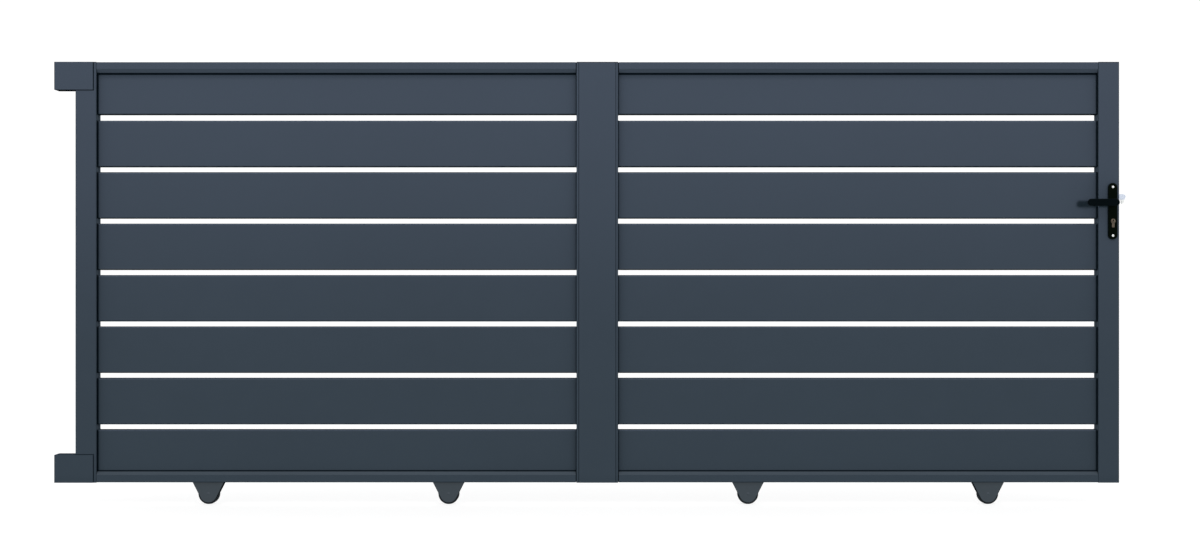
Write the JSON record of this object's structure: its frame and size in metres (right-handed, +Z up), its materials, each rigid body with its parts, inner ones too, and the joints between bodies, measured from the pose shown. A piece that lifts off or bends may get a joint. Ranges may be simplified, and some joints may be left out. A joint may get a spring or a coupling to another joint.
{
  "type": "sliding driveway gate",
  "caption": "Sliding driveway gate leaf of dark grey slats in a frame, with a centre post, end stops, grooved wheels on brackets, lever handles and a hook lock.",
  "frame": {"origin": "centre of the flat foot of the centre post", "axes": "+X along the leaf towards the leading (lock) end, -Y out of the outer face, +Z up; the wheels reach below the origin"},
  "size_m": [3.8608, 0.204, 1.5925],
  "materials": {
    "frame_paint": "satin powder coat, dark grey",
    "slat_paint": "satin powder coat, dark grey",
    "black_trim": "matt black",
    "black_handle": "satin black",
    "bright_steel": "zinc plated",
    "dark_steel": "dark coated steel",
    "lock_brass": "dull nickel over brass"
  },
  "bodies": {
    "leaf": {"rear_stile": "frame_paint", "center_post": "frame_paint", "front_stile": "frame_paint", "upright_caps": "black_trim", "top_rail_left": "frame_paint", "top_rail_right": "frame_paint", "bottom_rail_left": "frame_paint", "bottom_rail_right": "frame_paint", "slat_left_1": "slat_paint", "slat_left_2": "slat_paint", "slat_left_3": "slat_paint", "slat_left_4": "slat_paint", "slat_left_5": "slat_paint", "slat_left_6": "slat_paint", "slat_left_7": "slat_paint", "slat_left_8": "slat_paint", "slat_right_1": "slat_paint", "slat_right_2": "slat_paint", "slat_right_3": "slat_paint", "slat_right_4": "slat_paint", "slat_right_5": "slat_paint", "slat_right_6": "slat_paint", "slat_right_7": "slat_paint", "slat_right_8": "slat_paint", "end_caps": "black_trim", "rail_seals": "black_trim", "upper_stop": "frame_paint", "lower_stop": "frame_paint", "wheel_bracket_1": "frame_paint", "wheel_bracket_2": "frame_paint", "wheel_bracket_3": "frame_paint", "wheel_bracket_4": "frame_paint", "wheel_axles": "dark_steel", "front_handle_plate": "black_handle", "back_handle_plate": "black_handle", "handle_screws": "bright_steel", "lock_cylinder": "lock_brass", "lock_faceplate": "bright_steel", "hook_pin": "bright_steel"},
    "wheel_body_1": {"wheel_1": "dark_steel"},
    "wheel_body_2": {"wheel_2": "dark_steel"},
    "wheel_body_3": {"wheel_3": "dark_steel"},
    "wheel_body_4": {"wheel_4": "dark_steel"},
    "lever": {"front_lever": "black_handle", "back_lever": "black_handle", "lever_spindle": "bright_steel"},
    "hook": {"hook_bolt": "bright_steel"}
  },
  "joints": [
    {"name": "wheel_spin_1", "type": "hinge", "parent": "leaf", "child": "wheel_body_1", "pos_m": [-1.4012, 0, -0.0416], "axis": [0, 1, 0], "continuous": true},
    {"name": "wheel_spin_2", "type": "hinge", "parent": "leaf", "child": "wheel_body_2", "pos_m": [-0.5358, 0, -0.0416], "axis": [0, 1, 0], "continuous": true},
    {"name": "wheel_spin_3", "type": "hinge", "parent": "leaf", "child": "wheel_body_3", "pos_m": [0.543, 0, -0.0416], "axis": [0, 1, 0], "continuous": true},
    {"name": "wheel_spin_4", "type": "hinge", "parent": "leaf", "child": "wheel_body_4", "pos_m": [1.4084, 0, -0.0416], "axis": [0, 1, 0], "continuous": true},
    {"name": "lever_turn", "type": "hinge", "parent": "leaf", "child": "lever", "pos_m": [1.8525, 0, 1.006], "axis": [0, -1, 0], "range_deg": [0, 35], "stiffness_Nm_per_rad": 1.2, "springref_deg": -28.65},
    {"name": "hook_swing", "type": "hinge", "parent": "leaf", "child": "hook", "pos_m": [1.834, 0, 1.0285], "axis": [0, -1, 0], "range_deg": [0, 24.5]}
  ],
  "couplings": [
    {"joint": "hook_swing", "follows": "lever_turn", "ratio": 0.7}
  ]
}
